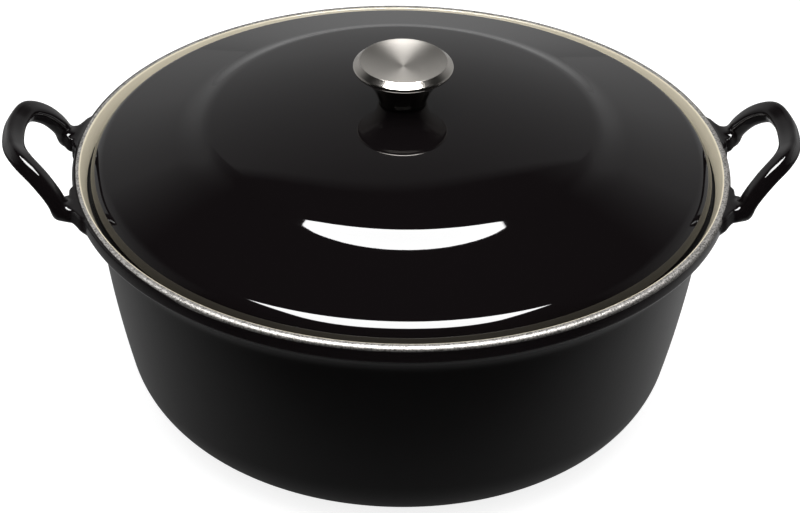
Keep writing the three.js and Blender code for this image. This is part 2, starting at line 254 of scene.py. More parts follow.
def turned_form():
    """Geometry nodes that turn an outline of points about the Z axis into a closed form."""
    tree = bpy.data.node_groups.new("Turned form", "GeometryNodeTree")
    for name, kind in (("Outline", "NodeSocketGeometry"), ("Facets", "NodeSocketInt"),
                       ("Finish", "NodeSocketMaterial")):
        tree.interface.new_socket(name, in_out="INPUT", socket_type=kind)
    tree.interface.new_socket("Form", in_out="OUTPUT", socket_type="NodeSocketGeometry")
    given = add(tree, "NodeGroupInput")
    outline = given.outputs["Outline"]
    size = add(tree, "GeometryNodeAttributeDomainSize", links={"Geometry": outline})
    count = size.outputs["Point Count"]
    seam = add(tree, "ShaderNodeMath", {1: 1}, {0: given.outputs["Facets"]}, operation="ADD")
    grid = add(tree, "GeometryNodeMeshGrid", {"Size X": 1, "Size Y": 1},
               {"Vertices X": count, "Vertices Y": seam.outputs[0]})
    place = add(tree, "GeometryNodeInputPosition").outputs[0]
    middle = add(tree, "ShaderNodeVectorMath", {1: (0.5, 0.5, 0)}, {0: place}, operation="ADD")
    shares = add(tree, "ShaderNodeSeparateXYZ", links={0: middle.outputs[0]})
    last = add(tree, "ShaderNodeMath", {1: 1}, {0: count}, operation="SUBTRACT")
    along = add(tree, "ShaderNodeMath", links={0: shares.outputs["X"], 1: last.outputs[0]},
                operation="MULTIPLY")
    nearest = add(tree, "ShaderNodeMath", links={0: along.outputs[0]}, operation="ROUND")
    row = add(tree, "ShaderNodeMath", links={0: along.outputs[0]}, operation="FLOOR")
    point = add(tree, "GeometryNodeSampleIndex", data_type="FLOAT_VECTOR", domain="POINT",
                links={"Geometry": outline, "Value": place, "Index": nearest.outputs[0]})
    turn = add(tree, "ShaderNodeMath", {1: -math.tau}, {0: shares.outputs["Y"]}, operation="MULTIPLY")
    turned = add(tree, "ShaderNodeVectorRotate", rotation_type="Z_AXIS",
                 links={"Vector": point.outputs["Value"], "Angle": turn.outputs[0]})
    rows = add(tree, "GeometryNodeStoreNamedAttribute", {"Name": "row"}, data_type="INT", domain="FACE",
               links={"Geometry": grid.outputs["Mesh"], "Value": row.outputs[0]})
    moved = add(tree, "GeometryNodeSetPosition",
                links={"Geometry": rows.outputs[0], "Position": turned.outputs[0]})
    closed = add(tree, "GeometryNodeMergeByDistance", {"Distance": 1e-6}, {"Geometry": moved.outputs[0]})
    smooth = add(tree, "GeometryNodeSetShadeSmooth", links={"Geometry": closed.outputs[0]})
    real = add(tree, "GeometryNodeRealizeInstances", links={"Geometry": smooth.outputs[0]})
    glazed = add(tree, "GeometryNodeSetMaterial",
                 links={"Geometry": real.outputs[0], "Material": given.outputs["Finish"]})
    add(tree, "NodeGroupOutput", links={"Form": glazed.outputs[0]})
    return tree


def made_mesh(piece):
    """Turns a piece with its modifiers into a plain mesh."""
    graph = bpy.context.evaluated_depsgraph_get()
    mesh = bpy.data.meshes.new_from_object(piece.evaluated_get(graph))
    piece.modifiers.clear()
    piece.data = mesh
    return mesh


def new_piece(name, data):
    """An object in the scene, made from a mesh, a lamp or a lens."""
    piece = bpy.data.objects.new(name, data)
    bpy.context.scene.collection.objects.link(piece)
    return piece


def turned(name, outline, finishes, facets):
    """A piece turned from an outline, with the finish of each stretch of the outline on its faces."""
    mesh = bpy.data.meshes.new(name)
    mesh.from_pydata([(r, 0, z) for r, z in outline], [], [])
    piece = new_piece(name, mesh)
    tree = bpy.data.node_groups.get("Turned form") or turned_form()
    inputs = {item.name: item.identifier for item in tree.interface.items_tree if item.in_out == "INPUT"}
    used = list(dict.fromkeys(finishes))
    modifier = piece.modifiers.new("Turned form", "NODES")
    modifier.node_group = tree
    modifier[inputs["Facets"]] = facets
    modifier[inputs["Finish"]] = used[0]
    mesh = made_mesh(piece)
    mesh.materials.clear()
    for finish in used:
        mesh.materials.append(finish)
    rows = np.zeros(len(mesh.polygons), np.int32)
    mesh.attributes["row"].data.foreach_get("value", rows)
    slots = np.array([used.index(finish) for finish in finishes], np.int32)
    mesh.polygons.foreach_set("material_index", slots[rows])
    mesh.attributes.remove(mesh.attributes["row"])
    return piece


def finish_piece(piece, body, node):
    """Puts the piece under the body it moves with and hides the CAD solid it stands for."""
    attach(piece, body)
    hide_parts(node)


# Materials

def opaque(colour, share=1.0):
    """A colour, darkened to a share of itself, with full cover."""
    return (*[share * channel for channel in colour], 1)


def material(name, constants):
    """A new material with its constants on the shader, or only the material where it is made already."""
    made = bpy.data.materials.get(name)
    if made:
        return made, None, None
    made = bpy.data.materials.new(name)
    made.use_nodes = True
    shader = made.node_tree.nodes["Principled BSDF"]
    for key, value in constants.items():
        shader.inputs[key].default_value = value
    return made, made.node_tree, shader


def black_glaze():
    """Vitreous black enamel, sprayed and fired: a glassy, slightly wavy skin with a deep black below."""
    black = bpy.context.scene.casserole_finish.black
    made, tree, shader = material("Glazed black enamel", {
        "Base Color": opaque(black), "Roughness": 0.03, "IOR": 1.6})
    if tree is None:
        return made
    place = add(tree, "ShaderNodeTexCoord").outputs["Object"]
    # the glaze flows into waves about 6 mm long and a few micrometres high
    waves = add(tree, "ShaderNodeTexNoise", {"Scale": 1 / (6 * MM), "Detail": 2}, {"Vector": place})
    bump = add(tree, "ShaderNodeBump", {"Strength": 0.25, "Distance": 0.02 * MM},
               {"Height": waves.outputs["Fac"]})
    tree.links.new(bump.outputs[0], shader.inputs["Normal"])
    return made


def black_satin():
    """The same enamel on the outer wall, fired over a rougher casting: satin, with a fine orange peel."""
    black = bpy.context.scene.casserole_finish.black
    # painted shade: the wall's black is set at 0.4 of the glaze's, so that the wall stays dark
    made, tree, shader = material("Satin black enamel", {
        "Base Color": opaque(black, 0.4), "Roughness": 0.34, "IOR": 1.5,
        "Sheen Weight": 0.05, "Sheen Roughness": 0.4})
    if tree is None:
        return made
    place = add(tree, "ShaderNodeTexCoord").outputs["Object"]
    # orange peel about 1.6 mm across
    peel = add(tree, "ShaderNodeTexNoise", {"Scale": 1 / (1.6 * MM), "Detail": 3}, {"Vector": place})
    bump = add(tree, "ShaderNodeBump", {"Strength": 0.5, "Distance": 0.05 * MM},
               {"Height": peel.outputs["Fac"]})
    tree.links.new(bump.outputs[0], shader.inputs["Normal"])
    return made


def cream_glaze():
    """Cream vitreous enamel of the inside: glossy, warm, with a faint cloudiness."""
    made, tree, shader = material("Cream enamel", {"Roughness": 0.16, "IOR": 1.55})
    if tree is None:
        return made
    cream = bpy.context.scene.casserole_finish.cream
    place = add(tree, "ShaderNodeTexCoord").outputs["Object"]
    # cloudiness of the glaze, patches about 9 mm across
    clouds = add(tree, "ShaderNodeTexNoise", {"Scale": 1 / (9 * MM), "Detail": 3}, {"Vector": place})
    shades = add(tree, "ShaderNodeMix", {"A": opaque(cream, 0.93), "B": opaque(cream)},
                 {"Factor": clouds.outputs["Fac"]}, data_type="RGBA")
    tree.links.new(shades.outputs["Result"], shader.inputs["Base Color"])
    return made


def rim_iron():
    """Bare rim where lid meets pot: ground grey iron, its open grain sparkling between dark pits.

    The black enamel of the outside runs up over its outer edge, and how far is painted shade: most at the
    left and the back, where the edge lies in shade, none at the lit front.
    """
    made, tree, shader = material("Ground rim iron", {})
    if tree is None:
        return made
    finish, pot = bpy.context.scene.casserole_finish, bpy.context.scene.casserole_pot
    place = add(tree, "ShaderNodeTexCoord").outputs["Object"]
    # grains about 0.9 mm across, drawn as coarse as they need to show
    grain = add(tree, "ShaderNodeTexNoise", {"Scale": 1 / (0.9 * MM), "Detail": 2, "Roughness": 0.7},
                {"Vector": place})
    pits = add(tree, "ShaderNodeMapRange", {"From Min": 0.36, "From Max": 0.6},
               {"Value": grain.outputs["Fac"]})
    shades = add(tree, "ShaderNodeMix", {"A": opaque(finish.iron, 0.25), "B": opaque(finish.iron)},
                 {"Factor": pits.outputs[0]}, data_type="RGBA")
    # how far the black runs in, a painted shade: none at the lit front, most at the left and the back, in
    # shade
    level = add(tree, "ShaderNodeVectorMath", {1: (1, 1, 0)}, {0: place}, operation="MULTIPLY")
    far = add(tree, "ShaderNodeVectorMath", links={0: level.outputs[0]}, operation="LENGTH")
    side = add(tree, "ShaderNodeVectorMath", {1: (-0.5, 1, 0)}, {0: place}, operation="DOT_PRODUCT")
    cover = add(tree, "ShaderNodeMapRange",
                {"From Min": -0.12, "From Max": 0.06, "To Min": -0.4 * MM, "To Max": pot.rim_cover},
                {"Value": side.outputs["Value"]})
    reach = add(tree, "ShaderNodeMath", links={0: far.outputs["Value"], 1: cover.outputs[0]},
                operation="ADD")
    blur = 0.15 * MM
    bare = add(tree, "ShaderNodeMapRange",
               {"From Min": pot.rim_radius + blur, "From Max": pot.rim_radius - blur},
               {"Value": reach.outputs[0]})
    coat = add(tree, "ShaderNodeMix", {"A": opaque(finish.black)},
               {"B": shades.outputs["Result"], "Factor": bare.outputs[0]}, data_type="RGBA")
    gloss = add(tree, "ShaderNodeMapRange", {"To Min": 0.06, "To Max": 0.48}, {"Value": bare.outputs[0]})
    bump = add(tree, "ShaderNodeBump", {"Strength": 0.6, "Distance": 0.2 * MM},
               {"Height": grain.outputs["Fac"]})
    tree.links.new(coat.outputs["Result"], shader.inputs["Base Color"])
    tree.links.new(bare.outputs[0], shader.inputs["Metallic"])
    tree.links.new(gloss.outputs[0], shader.inputs["Roughness"])
    tree.links.new(bump.outputs[0], shader.inputs["Normal"])
    return made


def polished_steel():
    """Stainless steel, turned and polished: a slightly warm mirror with faint turning marks."""
    steel = bpy.context.scene.casserole_finish.steel
    made, tree, shader = material("Polished stainless steel", {
        "Base Color": opaque(steel), "Metallic": 1, "Roughness": 0.13})
    if tree is None:
        return made
    place = add(tree, "ShaderNodeTexCoord").outputs["Object"]
    # turning marks run round the axis, about 0.3 mm apart
    marks = add(tree, "ShaderNodeTexWave", {"Scale": 0.05 / (0.3 * MM), "Distortion": 1.5, "Detail": 1},
                {"Vector": place}, wave_type="RINGS", rings_direction="Z")
    bump = add(tree, "ShaderNodeBump", {"Strength": 0.05, "Distance": 0.01 * MM},
               {"Height": marks.outputs["Fac"]})
    tree.links.new(bump.outputs[0], shader.inputs["Normal"])
    return made


def shaded_turned_steel():
    """Stainless steel as it comes off the lathe, on the stem: a soft sheen that blurs reflections, darkened
    with painted shade.
    """
    made, tree, shader = material("Turned stainless steel", {"Metallic": 1, "Roughness": 0.14})
    if tree is None:
        return made
    steel = bpy.context.scene.casserole_finish.steel
    place = add(tree, "ShaderNodeTexCoord").outputs["Object"]
    height = add(tree, "ShaderNodeSeparateXYZ", links={0: place}).outputs["Z"]
    # feed marks of the tool, about 0.3 mm apart
    marks = add(tree, "ShaderNodeTexNoise", {"Scale": 1 / (0.3 * MM), "Detail": 1}, {"W": height},
                noise_dimensions="1D")
    # painted shade: the steel is painted down to about half its colour, so that the stem stays dark
    shades = add(tree, "ShaderNodeMix", {"A": opaque(steel, 0.4), "B": opaque(steel, 0.52)},
                 {"Factor": marks.outputs["Fac"]}, data_type="RGBA")
    tree.links.new(shades.outputs["Result"], shader.inputs["Base Color"])
    return made


def brushed_steel():
    """Stainless steel brushed in circles: fine grooves round the axis that fan the light into a bow tie."""
    made, tree, shader = material("Round-brushed stainless steel", {
        "Metallic": 1, "Roughness": 0.3, "Anisotropic": 0.62, "Anisotropic Rotation": 0.25})
    if tree is None:
        return made
    steel = bpy.context.scene.casserole_finish.steel
    place = add(tree, "ShaderNodeTexCoord").outputs["Object"]
    level = add(tree, "ShaderNodeVectorMath", {1: (1, 1, 0)}, {0: place}, operation="MULTIPLY")
    far = add(tree, "ShaderNodeVectorMath", links={0: level.outputs[0]}, operation="LENGTH")
    # grooves about 0.25 mm apart, drawn as coarse as they need to show
    grooves = add(tree, "ShaderNodeTexNoise", {"Scale": 1 / (0.25 * MM), "Detail": 2},
                  {"W": far.outputs["Value"]}, noise_dimensions="1D")
    shades = add(tree, "ShaderNodeMix", {"A": opaque(steel, 0.8), "B": opaque(steel)},
                 {"Factor": grooves.outputs["Fac"]}, data_type="RGBA")
    round_axis = add(tree, "ShaderNodeTangent", direction_type="RADIAL", axis="Z")
    bump = add(tree, "ShaderNodeBump", {"Strength": 0.15, "Distance": 0.02 * MM},
               {"Height": grooves.outputs["Fac"]})
    tree.links.new(shades.outputs["Result"], shader.inputs["Base Color"])
    tree.links.new(round_axis.outputs[0], shader.inputs["Tangent"])
    tree.links.new(bump.outputs[0], shader.inputs["Normal"])
    return made


def zinc_plating():
    """Zinc-plated steel of the hidden fasteners: a dull bluish grey, a little cloudy."""
    made, tree, shader = material("Zinc-plated steel", {"Metallic": 1, "Roughness": 0.36})
    if tree is None:
        return made
    zinc = bpy.context.scene.casserole_finish.zinc
    place = add(tree, "ShaderNodeTexCoord").outputs["Object"]
    # spangle of the plating, about 1 mm across
    cloud = add(tree, "ShaderNodeTexNoise", {"Scale": 1 / (1 * MM), "Detail": 2}, {"Vector": place})
    shades = add(tree, "ShaderNodeMix", {"A": opaque(zinc, 0.8), "B": opaque(zinc)},
                 {"Factor": cloud.outputs["Fac"]}, data_type="RGBA")
    tree.links.new(shades.outputs["Result"], shader.inputs["Base Color"])
    return made


# Outlines that several pieces share

def pot_outline(s):
    """Corners of the body's outline: up the outside, over the rim, down to the ledge and back inside."""
    satin, gloss, iron, cream = black_satin(), black_glaze(), rim_iron(), cream_glaze()
    lean, sweep, corner, wall = s.wall_lean, s.wall_sweep, s.corner_radius, s.wall_thickness
    top_r = s.rim_radius - s.rim_overhang
    top_z = s.height - s.lip_height - (s.rim_overhang - s.lip_draft) / math.tan(s.flare_angle)
    sweep_r = top_r - sweep * math.cos(lean)
    sweep_z = top_z + sweep * math.sin(lean)
    foot = math.asin((sweep_z - corner) / (sweep - corner))
    base_r = sweep_r + (sweep - corner) * math.cos(foot)
    ledge = s.height - s.ledge_depth
    recess_r = s.rim_radius - s.rim_width - s.ledge_depth * math.tan(s.recess_lean)
    inside_r = top_r - wall / math.cos(lean) + (ledge - top_z) * math.tan(lean)
    down = -math.pi / 2
    corner_steps, sweep_steps = 24, 12
    return [
        (0, 0, 0, satin),
        *arc(base_r, corner, corner, down, -foot, corner_steps, satin),
        *arc(sweep_r, sweep_z, sweep, -foot, -lean, sweep_steps, satin)[1:-1],
        (top_r, top_z, s.flare_round, satin),
        (s.rim_radius - s.lip_draft, s.height - s.lip_height, s.lip_foot_round, gloss),
        (s.rim_radius, s.height, s.rim_outer_round, iron),
        (s.rim_radius - s.rim_width, s.height, s.rim_inner_round, cream),
        # painted shade: the fillet and the ledge under the lid are satin black, for the shadow in the gap
        # under the lid's edge
        (recess_r, ledge, s.recess_fillet, satin),
        (inside_r, ledge, s.ledge_edge_round, cream),
        *arc(sweep_r, sweep_z, sweep - wall, -lean, -foot, sweep_steps, cream),
        *arc(base_r, corner, corner - wall, -foot, down, corner_steps, cream)[1:],
        (0, wall, 0, cream),
    ]


def knob_seat_height():
    """Height of the flat on the lid that the knob stands on."""
    return bpy.context.scene.casserole_pot.height + bpy.context.scene.casserole_lid.crown_rise


def pad_face():
    """Height of the flat under the lid that the washer bears on."""
    s = bpy.context.scene.casserole_lid
    return knob_seat_height() - s.thickness - s.pad_thickness


# Handles: distances to bar, lug and body, run into each other as a casting does

def outline_distance(outline, points):
    """Signed distances from points to a closed outline, negative inside."""
    best = np.full(len(points), np.inf)
    inside = np.zeros(len(points), bool)
    for a, b in zip(outline, np.roll(outline, -1, 0)):
        edge = b - a
        if not edge.any():
            continue
        away = points - a
        share = np.clip(away @ edge / (edge @ edge), 0, 1)
        best = np.minimum(best, ((away - share[:, None] * edge) ** 2).sum(1))
        if a[1] != b[1]:
            crosses = (a[1] > points[:, 1]) != (b[1] > points[:, 1])
            inside ^= crosses & (points[:, 0] < a[0] + (points[:, 1] - a[1]) * edge[0] / edge[1])
    return np.where(inside, -1, 1) * np.sqrt(best)


def run_together(a, b, width):
    """The union of two distances with a fillet."""
    near = np.maximum(width - np.abs(a - b), 0)
    return np.minimum(a, b) - near ** 2 / (4 * width)


def loop_path(pot, s, steps):
    """Points of the bar's centre line from a foot to the middle of the grip and a little on."""
    # shares of the loop's reach, of the spread of its feet and of its rise, from a foot to the middle
    shares = [(0, 1, 0), (0.09, 0.985, 0.28), (0.4, 0.885, 0.71), (0.76, 0.68, 0.99), (0.95, 0.36, 1),
              (1, 0, 0.985)]
    *half, middle = [(pot.rim_radius + s.foot_reach + out * s.loop_reach, across * s.foot_across,
                      pot.height - s.foot_depth + up * s.loop_rise) for out, across, up in shares]
    other = [(x, -y, z) for x, y, z in half[::-1]]
    points = np.array([*half, middle, *other])
    # centripetal spline through the points, the ends carried on in a straight line
    points = np.vstack([2 * points[0] - points[1], points, 2 * points[-1] - points[-2]])
    knots = np.concatenate([[0], np.cumsum(np.linalg.norm(np.diff(points, axis=0), axis=1) ** 0.5)])
    path = []
    for k in range(1, len(half) + 2):
        p, t = points[k - 1:k + 3], knots[k - 1:k + 3]
        for at in np.linspace(t[1], t[2], steps, endpoint=False):
            level = p
            for reach in (1, 2):
                level = np.array([
                    ((t[i + reach] - at) * level[i] + (at - t[i]) * level[i + 1]) / (t[i + reach] - t[i])
                    for i in range(len(level) - 1)])
            path.append(((t[2] - at) * level[0] + (at - t[1]) * level[1]) / (t[2] - t[1]))
    return np.array(path), len(half) * steps


def bar_distance(pot, s, points):
    """Distances to the bar, which is round at its feet and flat-topped in the middle of the grip."""
    path, middle = loop_path(pot, s, steps=8)
    tangents = np.gradient(path, axis=0)
    tangents /= np.linalg.norm(tangents, axis=1)[:, None]
    lean = np.array([-math.sin(s.grip_lean), 0, math.cos(s.grip_lean)])
    best = np.full(len(points), np.inf)
    nearest = np.zeros((len(points), 3))
    up = np.zeros((len(points), 3))
    grip = np.zeros(len(points))
    for k in range(len(path) - 1):
        edge = path[k + 1] - path[k]
        share = np.clip((points - path[k]) @ edge / (edge @ edge), 0, 1)
        centre = path[k] + share[:, None] * edge
        gap = ((points - centre) ** 2).sum(1)
        closer = gap < best
        best[closer] = gap[closer]
        nearest[closer] = centre[closer]
        along = tangents[k] + share[closer, None] * (tangents[k + 1] - tangents[k])
        rise = lean - along * (along @ lean)[:, None]
        up[closer] = rise / np.linalg.norm(rise, axis=1)[:, None]
        grip[closer] = np.sin(np.pi / 2 * (k + share[closer]) / middle)
    away = points - nearest
    far = np.linalg.norm(away, axis=1) + 1e-9
    high = np.abs((away * up).sum(1)) / far
    wide = np.sqrt(np.maximum(1 - high ** 2, 0))
    half_width = s.bar_foot + grip * (s.grip_width / 2 - s.bar_foot)
    half_height = s.bar_foot + grip * (s.grip_height / 2 - s.bar_foot)
    power = 2 + (s.squareness - 2) * np.sqrt(grip)
    return far - ((wide / half_width) ** power + (high / half_height) ** power) ** (-1 / power)


def lug_plan(pot, s):
    """Plan of a lug, drawn in by its roundings: finger side, round its free end, to its outer side."""
    # how far the plan starts inside the rim, how its end is shared out and how its outer side is cut back
    root_depth = 2.3 * MM
    inner_share, outer_share, cut_back = 0.62, 0.38, 0.4
    inset = s.lug_round + s.lug_corner
    root = pot.rim_radius - root_depth
    end = pot.rim_radius + s.foot_reach - inset
    inner = s.foot_across - inner_share * s.lug_end + inset
    outer = s.foot_across + outer_share * s.lug_end - inset
    start_across, stop_across = s.lug_inner + s.lug_corner, s.lug_outer - s.lug_corner
    start = np.array([math.sqrt(root ** 2 - start_across ** 2), start_across])
    stop = np.array([math.sqrt(root ** 2 - stop_across ** 2), stop_across])
    t = np.linspace(0, 1, 13)[:, None]
    finger_side = ((1 - t) ** 2 * start + 2 * t * (1 - t) * (pot.rim_radius - inset, inner)
                   + t ** 2 * (end, inner))
    outer_side = ((1 - t) ** 2 * (end - cut_back * s.foot_reach, outer)
                  + 2 * t * (1 - t) * (stop[0] + s.foot_reach, outer) + t ** 2 * stop)
    return np.vstack([finger_side, outer_side])


def handle_mesh(pot, s, outline):
    """The +X handle as points and faces: bar and lugs run into each other and into the lip."""
    step = s.voxel
    # how far the block of points reaches into the rim and below it, and how much of the wall counts
    inward, downward, wall = 14 * MM, 22 * MM, 45 * MM
    low = np.array([pot.rim_radius - inward, 0, pot.height - downward])
    high = np.array([
        pot.rim_radius + s.foot_reach + s.loop_reach + s.grip_width,
        s.lug_outer + 3 * s.lip_fillet,
        pot.height - s.foot_depth + s.loop_rise + s.grip_width,
    ])
    xs, ys, zs = (np.arange(a, b, step) for a, b in zip(low, high))
    points = np.stack(np.meshgrid(xs, ys, zs, indexing="ij"), -1).reshape(-1, 3)
    far = np.hypot(points[:, 0], points[:, 1])
    rim = outline[outline[:, 1] > pot.height - wall]
    body = outline_distance(rim, np.stack([far, points[:, 2]], 1))
    bar = bar_distance(pot, s, points)
    # the lug: its plan with a rounded edge above and below
    flat = np.stack(np.meshgrid(xs, ys, indexing="ij"), -1).reshape(-1, 2)
    plan = np.repeat(outline_distance(lug_plan(pot, s), flat) - s.lug_corner, len(zs))
    middle = pot.height - s.lug_drop - s.lug_thickness / 2
    level = np.abs(points[:, 2] - middle) - (s.lug_thickness / 2 - s.lug_round)
    lug = (np.hypot(np.maximum(plan, 0), np.maximum(level, 0))
           + np.minimum(np.maximum(plan, level), 0) - s.lug_round)
    handle = run_together(bar, lug, s.bar_fillet)
    # the fillet is small along the flat top of the lugs and full at their sides
    least_fillet, full_depth = 0.3, 0.6 * s.lug_thickness
    fillet = s.lip_fillet * np.clip((pot.height - points[:, 2]) / full_depth, least_fillet, 1)
    # a skin just under the body's own, so that only handle and fillet stand out of it
    skin, root, fillet_edge = 0.03 * MM, 1.5 * MM, 0.97
    whole = run_together(body + skin, handle, fillet)
    whole = np.maximum(whole, -(body + root))
    whole = np.maximum(whole, handle - fillet_edge * fillet)
    # the ground rim stays bare beside the lugs
    ring = far - (pot.rim_radius - s.bare_rim)
    whole = np.maximum(whole, -np.maximum(ring, pot.height - pot.ledge_depth - points[:, 2]))
    # both halves as one field, in steps, flat beyond a few of them
    band = 4.0
    half = whole.reshape(len(xs), len(ys), len(zs))
    field = np.concatenate([half[:, :0:-1], half], axis=1) / step
    grid = openvdb.FloatGrid()
    grid.background = band
    grid.copyFromArray(np.clip(field, -band, band).astype(np.float32))
    corners, faces = grid.convertToQuads(isovalue=0.0)
    places = corners * step + np.array([xs[0], -ys[-1], zs[0]])
    return places, faces


class CASSEROLE_OT_pot_body(bpy.types.Operator):
    """Turn the body, run the loop handles into its lip and glaze it"""
    bl_idname = "casserole.pot_body"
    bl_label = "Pot body"

    def execute(self, context):
        sizes, handles = context.scene.casserole_pot, context.scene.casserole_handle
        outline, finishes = rounded(pot_outline(sizes))
        piece = turned("casserole_body", outline, finishes, FACETS_POT)
        gloss = piece.data.materials.find(black_glaze().name)
        places, faces = handle_mesh(sizes, handles, outline)
        for side in (1, -1):
            mesh = bpy.data.meshes.new("handle")
            mesh.from_pydata((places * (side, side, 1)).tolist(), [], faces.tolist())
            for finish in piece.data.materials:
                mesh.materials.append(finish)
            shell = bmesh.new()
            shell.from_mesh(mesh)
            bmesh.ops.recalc_face_normals(shell, faces=shell.faces)
            for face in shell.faces:
                face.material_index = gloss
                face.smooth = True
            shell.to_mesh(mesh)
            shell.free()
            loop = new_piece("handle", mesh)
            join = piece.modifiers.new("Cast on", "BOOLEAN")
            join.operation = "UNION"
            join.solver = "MANIFOLD"
            join.object = loop
            made_mesh(piece)
            bpy.data.objects.remove(loop)
        finish_piece(piece, "pot", "pot_body")
        return {"FINISHED"}


class CASSEROLE_OT_lid(bpy.types.Operator):
    """Turn the stepped lid with its rolled edge and glaze it"""
    bl_idname = "casserole.lid"
    bl_label = "Lid"

    def execute(self, context):
        pot, s = context.scene.casserole_pot, context.scene.casserole_lid
        gloss, satin, cream = black_glaze(), black_satin(), cream_glaze()
        seat = knob_seat_height()
        recess_r = pot.rim_radius - pot.rim_width - pot.ledge_depth * math.tan(pot.recess_lean)
        radius = recess_r - s.clearance
        foot_r = radius - s.brim_width
        shoulder_r = foot_r - s.step_run
        shoulder = seat - s.crown_drop
        foot = shoulder - s.step_drop
        edge = pot.height + s.edge_rise
        sit = pot.height - pot.ledge_depth + s.seat_gap
        skirt_r = radius - s.skirt_width
        skirt_top = edge + (foot - edge) / s.brim_width * s.skirt_width - s.thickness
        # the crown is an arc about the axis from the knob's seat down to the shoulder
        centre = (seat ** 2 - shoulder ** 2 + s.knob_seat ** 2 - shoulder_r ** 2) / (2 * s.crown_drop)
        crown = math.hypot(seat - centre, s.knob_seat)
        ring_count, pad_round = 22, 0.4 * MM
        rings = [(r, centre + math.sqrt(crown ** 2 - r ** 2))
                 for r in np.linspace(shoulder_r, s.knob_seat, ring_count)[1:-1]]
        corners = [
            (s.hole, pad_face(), 0, cream),
            (s.pad, pad_face(), pad_round, cream),
            (s.pad, pad_face() + s.pad_thickness, pad_round, cream),
            (s.knob_seat, seat - s.thickness, 0, cream),
            *[(r, z - s.thickness, 0, cream) for r, z in rings[::-1]],
            (shoulder_r, shoulder - s.thickness, s.shoulder_round, cream),
            (foot_r, foot - s.thickness, s.step_foot_round, cream),
            (skirt_r, skirt_top, s.skirt_round, cream),
            (skirt_r, sit, s.skirt_round, satin),
            (radius, sit, s.skirt_round, gloss),
            (radius, edge, s.edge_round, gloss),
            (foot_r, foot, s.step_foot_round, gloss),
            (shoulder_r, shoulder, s.shoulder_round, gloss),
            *[(r, z, 0, gloss) for r, z in rings],
            (s.knob_seat, seat, 0, gloss),
            (s.hole, seat, 0, gloss),
            (s.hole, pad_face(), 0, gloss),
        ]
        piece = turned("casserole_lid", *rounded(corners, 2), FACETS_POT)
        finish_piece(piece, "lid", "lid")
        return {"FINISHED"}


class CASSEROLE_OT_knob(bpy.types.Operator):
    """Turn the trumpet knob with its bevel and brushed top"""
    bl_idname = "casserole.knob"
    bl_label = "Knob"

    def execute(self, context):
        s = context.scene.casserole_knob
        polished, turning, brushed = polished_steel(), shaded_turned_steel(), brushed_steel()
        base = knob_seat_height()
        bevel = s.height - s.bevel_drop
        under = bevel - s.edge_height
        bend = s.edge_height / 2
        t = np.linspace(0, 1, 25)[:, None]
        stem = ((1 - t) ** 2 * (s.foot, 0) + 2 * t * (1 - t) * (s.foot + s.waist, s.waist_height)
                + t ** 2 * (s.head - bend, under))
        bowl = (s.top ** 2 + s.dish ** 2) / (2 * s.dish)
        bore_round, top_round, edge_turn = 0.3 * MM, 0.25 * MM, math.radians(60)
        corners = [
            (0, s.bore_depth, 0, polished),
            (s.bore, s.bore_depth, 0, polished),
            (s.bore, 0, bore_round, polished),
            *[(r, z, 0, turning) for r, z in stem],
            *arc(s.head - bend, under + bend, bend, -edge_turn, edge_turn, 10, polished),
            (s.top, s.height, top_round, brushed),
            *[(r, s.height - s.dish + bowl - math.sqrt(bowl ** 2 - r ** 2), 0, brushed)
              for r in np.linspace(s.top, 0, 14)[1:]],
        ]
        outline, finishes = rounded(corners)
        piece = turned("casserole_knob", outline + (0, base), finishes, FACETS_KNOB)
        finish_piece(piece, "lid", "knob")
        return {"FINISHED"}


class CASSEROLE_OT_fasteners(bpy.types.Operator):
    """Turn the screw and the lock washer under the lid and cut their slots"""
    bl_idname = "casserole.fasteners"
    bl_label = "Screw and washer"

    def execute(self, context):
        s = context.scene.casserole_fastener
        zinc = zinc_plating()
        face = pad_face() - s.washer_thickness
        shank = knob_seat_height() + s.bite - face
        ease, tip_round = 0.2 * MM, 0.5 * MM
        outline, finishes = rounded([
            (0, -s.head_height, 0, zinc),
            (s.head, -s.head_height, s.head_round, zinc),
            (s.head, 0, ease, zinc),
            (s.screw, 0, 0, zinc),
            (s.screw, shank, tip_round, zinc),
            (0, shank, 0, zinc),
        ])
        screw = turned("casserole_screw", outline + (0, face), finishes, FACETS_SCREW)
        # the cutters stand out past what they cut
        slot = (2.4 * s.head, s.slot_width, 2 * s.slot_depth)
        self.cut(screw, slot, (0, 0, face - s.head_height))
        finish_piece(screw, "lid", "knob_screw")
        outline, finishes = rounded([
            (s.washer_bore, s.washer_thickness / 2, 0, zinc),
            (s.washer_bore, 0, ease, zinc),
            (s.washer, 0, ease, zinc),
            (s.washer, s.washer_thickness, ease, zinc),
            (s.washer_bore, s.washer_thickness, ease, zinc),
            (s.washer_bore, s.washer_thickness / 2, 0, zinc),
        ])
        washer = turned("casserole_washer", outline + (0, face), finishes, FACETS_SCREW)
        slit = (s.washer, s.washer_slit, 4 * s.washer_thickness)
        self.cut(washer, slit, (s.washer, 0, face))
        finish_piece(washer, "lid", "lock_washer")
        return {"FINISHED"}

    def cut(self, piece, size, place):
        """Cuts a box out of a piece."""
        shell = bmesh.new()
        bmesh.ops.create_cube(shell, size=1, matrix=Matrix.Translation(place) @ Matrix.Diagonal((*size, 1)))
        mesh = bpy.data.meshes.new("cutter")
        shell.to_mesh(mesh)
        shell.free()
        cutter = new_piece("cutter", mesh)
        slot = piece.modifiers.new("Slot", "BOOLEAN")
        slot.operation = "DIFFERENCE"
        slot.solver = "MANIFOLD"
        slot.object = cutter
        made_mesh(piece)
        bpy.data.objects.remove(cutter)


